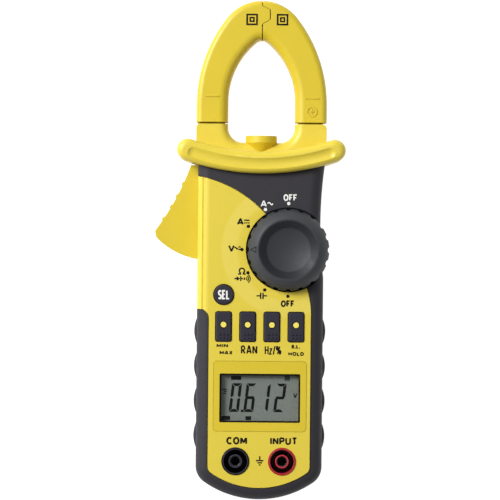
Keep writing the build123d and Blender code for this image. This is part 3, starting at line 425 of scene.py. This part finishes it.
# Each printed character in a cell one high: its width, and the points of its strokes.
GLYPHS = {
    "A": (0.72, [[(0, 0), (0.32, 1), (0.40, 1), (0.72, 0)], [(0.12, 0.28), (0.60, 0.28)]]),
    "B": (0.55, [[(0, 0), (0, 1)], bowl(0.52, 1, 0.50), bowl(0, 0.52, 0.56)]),
    "C": (0.62, [oval(0.36, 0.5, 0.36, 0.5, 48, 312)]),
    "D": (0.62, [[(0, 0), (0, 1)], bowl(0, 1, 0.62)]),
    "E": (0.48, [[(0.48, 1), (0, 1), (0, 0), (0.48, 0)], [(0, 0.52), (0.42, 0.52)]]),
    "F": (0.46, [[(0.48, 1), (0, 1), (0, 0)], [(0, 0.50), (0.40, 0.50)]]),
    "H": (0.58, [[(0, 0), (0, 1)], [(0.58, 0), (0.58, 1)], [(0, 0.5), (0.58, 0.5)]]),
    "I": (0.0, [[(0, 0), (0, 1)]]),
    "L": (0.44, [[(0, 1), (0, 0), (0.46, 0)]]),
    "M": (0.76, [[(0, 0), (0, 1)], [(0.76, 0), (0.76, 1)],
                 [(0.05, 0.94), (0.35, 0.30), (0.41, 0.30), (0.71, 0.94)]]),
    "N": (0.60, [[(0, 0), (0, 1)], [(0.60, 0), (0.60, 1)], [(0.03, 0.94), (0.57, 0.06)]]),
    "O": (0.70, [oval(0.35, 0.5, 0.35, 0.5, 0, 336)]),
    "P": (0.52, [[(0, 0), (0, 1)], bowl(0.46, 1, 0.54)]),
    "R": (0.56, [[(0, 0), (0, 1)], bowl(0.46, 1, 0.52), [(0.22, 0.46), (0.56, 0)]]),
    "S": (0.50, [oval(0.25, 0.745, 0.25, 0.255, 30, 270, 10)[:-1]
                 + oval(0.25, 0.245, 0.25, 0.245, 90, -150, 10)]),
    "T": (0.56, [[(0, 1), (0.56, 1)], [(0.28, 1), (0.28, 0)]]),
    "U": (0.58, [[(0, 1), (0, 0.29)] + oval(0.29, 0.29, 0.29, 0.29, 180, 360, 10)[1:-1]
                 + [(0.58, 0.29), (0.58, 1)]]),
    "V": (0.66, [[(0, 1), (0.29, 0), (0.37, 0), (0.66, 1)]]),
    "X": (0.58, [[(0, 0), (0.58, 1)], [(0, 1), (0.58, 0)]]),
    "z": (0.42, [[(0, 0.68), (0.42, 0.68), (0, 0), (0.42, 0)]]),
    "/": (0.36, [[(0, -0.05), (0.36, 1.05)]]),
    "%": (0.86, [[(0.21, 0), (0.65, 1)], oval(0.12, 0.76, 0.14, 0.23, 0, 336),
                 oval(0.74, 0.24, 0.14, 0.23, 0, 336)]),
    ".": (0.26, [[(0, 0), (0.26, 0)]]),
}
CLOSED_GLYPHS = {"O": (0,), "%": (1, 2)}     # strokes that close on themselves
LETTER_GAP = 0.36
LEVEL_STEP = 0.12       # as a share of the printing's thickness


def word(name, text, x, y, width, cap, z, material, body=ROOT, weight=0.22, slot="black_plastic"):
    """A printed word in plain block strokes, by its centre, width and cap height in millimetres."""
    pen = 0.0
    strokes = []
    for character in text:
        advance, paths = GLYPHS[character]
        for index, path in enumerate(paths):
            strokes.append(([(pen + u, v) for u, v in path], index in CLOSED_GLYPHS.get(character, ())))
        pen += advance + LETTER_GAP
    pen -= LETTER_GAP
    line_width = cap * weight
    scale_x, scale_y = (width - line_width) / pen, cap - line_width
    left = x - (width - line_width) / 2
    build = bmesh.new()
    for level, (path, closed) in enumerate(strokes):
        points = [(left + u * scale_x, y + (v - 0.5) * scale_y) for u, v in path]
        # strokes that cross stand at three slightly different heights, so that no two tops lie in one plane
        add_line(build, line(points, line_width, closed), z, INK * (1.0 + LEVEL_STEP * (level % 3)))
    return piece(name, build, material, body)


# ---------------------------------------------------------------------------
# Dial marks on the face
# ---------------------------------------------------------------------------

DOT_RING, DOT_R = 21.2, 0.78
STROKE = 0.62     # line width of the range symbols
KX, KY = KNOB_X / MM, KNOB_Y / MM


def dial_dot(degrees):
    """The dot of one switch position."""
    turn = math.radians(degrees)
    return disc(KX + DOT_RING * math.cos(turn), KY + DOT_RING * math.sin(turn), DOT_R)


def wave(x, y, width, height, weight):
    """A sine mark."""
    points = [(x + width * (i / 12 - 0.5), y + height * math.sin(2 * math.pi * i / 12)) for i in range(13)]
    return line(points, weight)


def printed(name, text, x, y, width, cap, weight=0.25):
    """Black lettering on the yellow face."""
    return word(name, text, x, y, width, cap, FACE_Z, ink_black, weight=weight)


marks("dial_dots_pale", SKIN_Z, ink_white, [dial_dot(a) for a in (90, 120)])
marks("dial_dots_black", FACE_Z, ink_black, [dial_dot(a) for a in (150, 180, 210, 240, 270)])
word("mark_off_upper", "OFF", 13.4, 61.7, 6.2, 3.1, SKIN_Z, ink_white, weight=0.2)
printed("mark_off_lower", "OFF", 12.6, 13.2, 6.3, 3.1, 0.24)
word("mark_amps_ac", "A", 1.3, 58.8, 2.8, 2.9, SKIN_Z, ink_white, weight=0.19)
marks("mark_ac_wave", SKIN_Z, ink_white, lines=[wave(4.3, 58.9, 2.5, 0.5, 0.5)])
printed("mark_amps_dc", "A", -9.3, 50.5, 3.1, 3.2, 0.25)
DC_X, DC_Y = -6.4, 50.0
dashes = [bar(DC_X + step, DC_Y, 0.65, STROKE) for step in (-0.9, 0.0, 0.9)]
marks("mark_dc_bars", FACE_Z, ink_black, [bar(DC_X, DC_Y + 1.2, 2.5, STROKE)] + dashes)
printed("mark_volts", "V", -13.3, 38.4, 3.0, 3.1, 0.26)
marks("mark_volt_kinds", FACE_Z, ink_black, [bar(-9.6, y, 1.0, 0.6) for y in (38.95, 37.85)],
      [wave(-11.1, 38.4, 1.4, 0.35, STROKE)])

OHM_X, OHM_Y = -8.4, 27.9
ohm = [(-1.7, -1.3), (-0.75, -1.3)] + arc_points(0, 0.15, 1.2, 232, -52, 18) + [(0.75, -1.3), (1.7, -1.3)]
marks("mark_ohms", FACE_Z, ink_black, lines=[line(ohm, 0.66, x=OHM_X, y=OHM_Y)])

DIODE_X, DIODE_Y, BUZZER_X = -9.9, 24.5, -6.9
arrow = placed([(-0.9, -1.1), (0.7, 0), (-0.9, 1.1)], DIODE_X, DIODE_Y)
marks("mark_diode", FACE_Z, ink_black,
      [bar(DIODE_X - 1.4, DIODE_Y, 1.0, 0.6), arrow, bar(DIODE_X + 1.0, DIODE_Y, 0.55, 2.2),
       bar(DIODE_X + 1.65, DIODE_Y, 0.7, 0.6), bar(BUZZER_X - 0.3, DIODE_Y, 0.7, 1.1)],
      [line(arc_points(BUZZER_X, DIODE_Y, radius, -52, 52, 8), 0.46) for radius in (0.8, 1.55, 2.3)])

CAP_X, CAP_Y = 0.8, 16.7
cap_leads = [bar(CAP_X + side * 1.65, CAP_Y, 1.6, 0.6) for side in (-1, 1)]
cap_plates = [bar(CAP_X + side * 0.53, CAP_Y, STROKE, 2.9) for side in (-1, 1)]
marks("mark_capacitor", FACE_Z, ink_black, cap_leads + cap_plates)

# ---------------------------------------------------------------------------
# Keys and their labels
# ---------------------------------------------------------------------------

def plan_centre(node):
    """The middle of a node in plan, in millimetres."""
    low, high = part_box(node)
    return (low.x + high.x) / 2 / MM, (low.y + high.y) / 2 / MM


KEY_BODIES = ("key_a", "key_b", "key_c", "key_d")
KEY_DOT_Y, STUD_Y, STUD_PITCH = 0.9, -3.4, 1.7
for number, body in enumerate(KEY_BODIES, start=1):
    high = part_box(f"key_{number}")[HIGH]
    x, y = plan_centre(f"key_{number}")
    marks(f"key_{number}_ring", high.z, ink_black, [disc(x, y + KEY_DOT_Y, 1.75)], body=body)
    marks(f"key_{number}_dot", high.z + INK, yellow_light, [disc(x, y + KEY_DOT_Y, 1.3)], body=body)
    studs = [bar(x + STUD_PITCH * column, y + STUD_Y - STUD_PITCH * row, 1.0, 0.9)
             for column in (-1, 0, 1) for row in (0, 1)]
    marks(f"key_{number}_grip", high.z, key_dark, studs, body=body, thick=0.25 * MM)

word("select_letters", "SEL", *plan_centre("select_key"), 5.4, 4.3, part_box("select_key")[HIGH].z, ink_white,
     "select_button", 0.17)

# piece, text, centre, width, cap height, and stroke as a share of the cap height
LABELS = (
    ("label_min", "MIN", -17.1, -6.2, 5.2, 1.8, 0.28),
    ("label_max", "MAX", -15.3, -9.4, 6.0, 1.8, 0.28),
    ("label_range", "RAN", -4.8, -8.0, 7.5, 4.0, 0.17),
    ("label_hertz", "Hz/%", 6.1, -8.1, 7.6, 4.1, 0.15),
    ("label_light", "B.L.", 16.6, -6.4, 4.1, 1.8, 0.28),
    ("label_hold", "HOLD", 16.7, -9.7, 7.2, 1.8, 0.28),
    ("label_com", "COM", -10.1, -49.6, 9.5, 3.5, 0.24),
    ("label_input", "INPUT", 11.4, -49.6, 12.4, 3.5, 0.23),
)
for label in LABELS:
    printed(*label)

EARTH_X, EARTH_Y = 0.5, -58.6
marks("mark_earth", FACE_Z, ink_black,
      [bar(EARTH_X, EARTH_Y + 1.2, STROKE, 1.7), bar(EARTH_X, EARTH_Y, 3.4, STROKE),
       bar(EARTH_X, EARTH_Y - 1.0, 2.1, 0.6), bar(EARTH_X, EARTH_Y - 2.0, 0.9, 0.6)])

# ---------------------------------------------------------------------------
# Liquid crystal display
# ---------------------------------------------------------------------------

DIGIT_W, DIGIT_H, SEGMENT, SEGMENT_GAP = 4.6, 13.1, 1.3, 0.16
SLANT = math.tan(math.radians(6.5))
LIT = {"0": "abcdef", "1": "bc", "2": "abdeg", "6": "acdefg"}


def digit(character, x, y):
    """A slanted seven-segment digit by its centre."""
    w, h, s, gap = DIGIT_W / 2, DIGIT_H / 2, SEGMENT, SEGMENT_GAP
    middle = [(-w + gap, 0), (-w + s / 2 + gap, s / 2), (w - s / 2 - gap, s / 2), (w - gap, 0),
              (w - s / 2 - gap, -s / 2), (-w + s / 2 + gap, -s / 2)]
    top = [(-w + gap, 0), (w - gap, 0), (w - s - gap, -s), (-w + s + gap, -s)]
    side = [(0, -gap), (0, -h + s * 0.3 + gap), (-s * 0.4, -h + gap),
            (-s, -h + s * 0.5 + gap), (-s, -s - gap)]
    shapes = {
        "a": [(u, v + h) for u, v in top],
        "d": [(u, -v - h) for u, v in top],
        "g": middle,
        "b": [(u + w, v + h) for u, v in side],
        "c": [(u + w, -v - h) for u, v in side],
        "f": [(-u - w, v + h) for u, v in side],
        "e": [(-u - w, -v - h) for u, v in side],
    }
    return [placed([(u + v * SLANT, v) for u, v in shapes[name]], x, y) for name in LIT[character]]


DIGIT_PLACES = (("0", -10.9), ("6", -4.2), ("1", 2.3), ("2", 9.5))
DIGIT_Y = -30.0
segments = []
for character, x in DIGIT_PLACES:
    segments += digit(character, x, DIGIT_Y)
point = bar(-7.8, -36.1, 1.1, 1.1)
marks("lcd_digits", GLASS_Z, lcd_ink, segments + [point])

# small signs: left edge, top edge and width of the solid ones; centre and width of the thin bars at the left
ICON_H, THIN = 1.8, 0.45
ICONS = ((-12.9, -20.1, 4.6), (-17.2, -38.5, 4.0), (-6.2, -38.5, 2.6))
THIN_BARS = ((-16.0, -26.3, 2.2), (-15.6, -27.2, 1.4), (-15.9, -28.1, 1.6))
icons = [bar(left + width / 2, top - ICON_H / 2, width, ICON_H) for left, top, width in ICONS]
thin_bars = [bar(x, y, width, THIN) for x, y, width in THIN_BARS]

# and one open box with a bar in it
BOX_X, BOX_Y, BOX_W, BOX_H = 12.75, -21.0, 1.9, 1.6
box_corners = [(BOX_X + sx * BOX_W / 2, BOX_Y + sy * BOX_H / 2)
               for sx, sy in ((-1, 1), (1, 1), (1, -1), (-1, -1))]
box_bar = bar(BOX_X, BOX_Y, BOX_W * 0.62, 0.75)
marks("lcd_icons", GLASS_Z, lcd_ink, icons + [box_bar] + thin_bars, [line(box_corners, THIN, True)])
word("lcd_unit", "V", 16.5, -28.8, 1.9, 2.2, GLASS_Z, lcd_ink, slot="lcd_panel")

# ---------------------------------------------------------------------------
# Moulded marks on the jaws and the knob
# ---------------------------------------------------------------------------

def square(x, y, size):
    """The corners of a square by its centre."""
    h = size / 2
    return [(x - h, y - h), (x + h, y - h), (x + h, y + h), (x - h, y + h)]


SQUARE_Y = 143.6
for name, x, body in (("fixed", 9.2, ROOT), ("moving", -4.8, JAW)):
    squares = [line(square(x, SQUARE_Y, 4.5), 0.8, True), line(square(x, SQUARE_Y, 1.7), 0.7, True)]
    marks(f"{name}_jaw_square", JAW_Z, ink_black, lines=squares, body=body)

RIDGE_H, BADGE_H = 0.3 * MM, 0.25 * MM
for name, x, y, body in (("fixed", 23.2, 107.6, ROOT), ("moving", -22.9, 108.3, JAW)):
    marks(f"{name}_jaw_ridge", JAW_Z, yellow, [bar(x, y, 6.4, 0.7)], body=body,
          thick=RIDGE_H)

RING_X, RING_Y = 23.1, 101.4
badge_ring = line(arc_points(RING_X, RING_Y, 2.2, 0, 350, 35), 0.5, True)
badge_cross = [bar(RING_X, RING_Y, 2.2, 0.5)] + [bar(RING_X, RING_Y + step, 0.5, 0.8) for step in (0.7, -0.7)]
marks("fixed_jaw_ring", JAW_Z, yellow, lines=[badge_ring], thick=BADGE_H)
marks("fixed_jaw_cross", JAW_Z, yellow, badge_cross, thick=BADGE_H)


def ring_plate(name, x, y, inner, outer, z, thick, material, body=ROOT,
               span_degrees=None):
    """A flat ring by its two radii, in millimetres, or the part of one between two angles."""
    middle, width = (inner + outer) / 2, outer - inner
    start, end = span_degrees or (0, 355)
    path = line(arc_points(x, y, middle, start, end, 71), width, span_degrees is None)
    return marks(name, z, material, lines=[path], body=body, thick=thick * MM)


WELL_Z = 36.2 * MM
# A near-black ring in the well round the knob: painted shadow of the gap between knob and face.
ring_plate("knob_well_shadow", KX, KY, 16.9, 19.3, WELL_Z, 0.25, well_shadow_black, span_degrees=(48, 312))
BORDER = 0.8        # width of the dark line round the window, on the window's underside
border_x, border_y = (LCD_W / MM - BORDER) / 2, (LCD_H / MM - BORDER) / 2
border = [(LCD_X / MM + sx * border_x, LCD_Y / MM + sy * border_y)
          for sx, sy in ((-1, -1), (1, -1), (1, 1), (-1, 1))]
marks("window_border", window_low.z - INK, ink_black, lines=[line(border, BORDER, True)])

# radius and height of three points on the knob's rounded edge
SHOULDER = ((18.7, 40.0), (16.9, 43.4), (14.1, 45.8))


def skirt_height(x, y):
    """Height of the knob's rounded shoulder over a point, from the arc through SHOULDER."""
    (ax, az), (bx, bz), (cx, cz) = SHOULDER
    d = 2 * (ax * (bz - cz) + bx * (cz - az) + cx * (az - bz))
    a2, b2, c2 = ax * ax + az * az, bx * bx + bz * bz, cx * cx + cz * cz
    mid_r = (a2 * (bz - cz) + b2 * (cz - az) + c2 * (az - bz)) / d
    mid_z = (a2 * (cx - bx) + b2 * (ax - cx) + c2 * (bx - ax)) / d
    radius = math.hypot(ax - mid_r, az - mid_z)
    reach = math.hypot(x - KNOB_X, y - KNOB_Y) / MM
    return (mid_z + math.sqrt(max(0.0, radius**2 - (reach - mid_r)**2))) * MM


# a triangle that points out at the range marks, with short sides so that it follows the shoulder
POINTER_TIP, POINTER_BASE, POINTER_HALF, SIDE_STEPS = 17.2, 14.8, 1.25, 4
corners = [(KX - POINTER_TIP, KY), (KX - POINTER_BASE, KY + POINTER_HALF),
           (KX - POINTER_BASE, KY - POINTER_HALF)]
outline = []
for (ax, ay), (bx, by) in zip(corners, corners[1:] + corners[:1]):
    outline += [(ax + (bx - ax) * t / SIDE_STEPS, ay + (by - ay) * t / SIDE_STEPS) for t in range(SIDE_STEPS)]
marks("knob_pointer", skirt_height, ink_black, lines=[line(outline, 0.34, True)], body=DIAL,
      thick=0.06 * MM)

# Lighter rings on each socket's post top and rim edge: painted highlights.
POST_TOP_Z, RIM_TOP_Z = 36.0 * MM, 37.4 * MM
for socket, highlight_material, slot in (("com_socket", socket_lit_grey, "black_plastic"),
                                    ("input_socket", socket_lit_red, "red_plastic")):
    x, y = plan_centre(socket)
    ring_plate(f"{socket}_post_highlight", x, y, 2.5, 3.1, POST_TOP_Z, 0.25, highlight_material)
    ring_plate(f"{socket}_rim_highlight", x, y, 5.45, 5.8, RIM_TOP_Z, 0.05, highlight_material)

# ---------------------------------------------------------------------------
# Floor, light and camera
# ---------------------------------------------------------------------------

scene = bpy.context.scene
scene.view_settings.view_transform = "Standard"
scene.view_settings.look = "None"

FLOOR_HALF = 25.0
floor_corners = [(sx * FLOOR_HALF, sy * FLOOR_HALF, 0) for sx, sy in ((-1, -1), (1, -1), (1, 1), (-1, 1))]
floor_mesh = bpy.data.meshes.new("floor")
floor_mesh.from_pydata(floor_corners, [], [(0, 1, 2, 3)])
floor = bpy.data.objects.new("floor", floor_mesh)
scene.collection.objects.link(floor)
paper = moulded("floor_paper", rgb(0.30, 0.30, 0.30), 0.85, grain=300.0, variation=0.01, edge=0.01, shine=0.1)
paper_shader = paper.node_tree.nodes["Principled BSDF"]
paper_shader.inputs["Emission Color"].default_value = grey(1.0)
paper_shader.inputs["Emission Strength"].default_value = 0.97
floor_mesh.materials.append(paper)

world = bpy.data.worlds.new("studio")
scene.world = world
world.use_nodes = True
sky = world.node_tree
direction = sky.nodes.new("ShaderNodeTexCoord")
split = sky.nodes.new("ShaderNodeSeparateXYZ")
sky.links.new(direction.outputs["Generated"], split.inputs["Vector"])
rise = ramp(sky, split.outputs["Z"], [(0.0, grey(1.0)), (0.07, grey(1.0)), (0.32, grey(0.155))])
sky.links.new(rise.outputs["Color"], sky.nodes["Background"].inputs["Color"])
sky.nodes["Background"].inputs["Strength"].default_value = 1.0


def soft_light(name, place, target, size, power):
    """A square area light aimed at a point."""
    data = bpy.data.lights.new(name, "AREA")
    data.shape = "SQUARE"
    data.size = size
    data.energy = power
    lamp = bpy.data.objects.new(name, data)
    scene.collection.objects.link(lamp)
    lamp.location = place
    lamp.rotation_euler = (Vector(target) - Vector(place)).to_track_quat("-Z", "Y").to_euler()


CENTRE = (0.0, 0.04, 0.02)
soft_light("key_light", (-0.95, 0.60, 1.00), CENTRE, 0.6, 26.5)
soft_light("sheen_light", (-0.45, 0.55, 1.35), CENTRE, 0.7, 2.5)
soft_light("fill_light", (0.8, -0.3, 1.2), CENTRE, 0.9, 2.5)

VIEW_X, VIEW_Y = -4.8 * MM, 37.6 * MM
VIEW_HEIGHT = 229.5 * MM        # length that fills the picture, at FRAMED_Z
FRAMED_Z = 0.03
DISTANCE = 1.6
SENSOR_MM = 36.0
VIEW_ROLL = 0.52                # degrees
camera_data = bpy.data.cameras.new("camera")
camera_data.sensor_width = SENSOR_MM
camera_data.lens = SENSOR_MM * (DISTANCE - FRAMED_Z) / VIEW_HEIGHT
camera_data.clip_end = 20.0
camera = bpy.data.objects.new("camera", camera_data)
camera.location = (VIEW_X, VIEW_Y, DISTANCE)
camera.rotation_euler = Euler((0.0, 0.0, math.radians(VIEW_ROLL)))
scene.collection.objects.link(camera)
scene.camera = camera
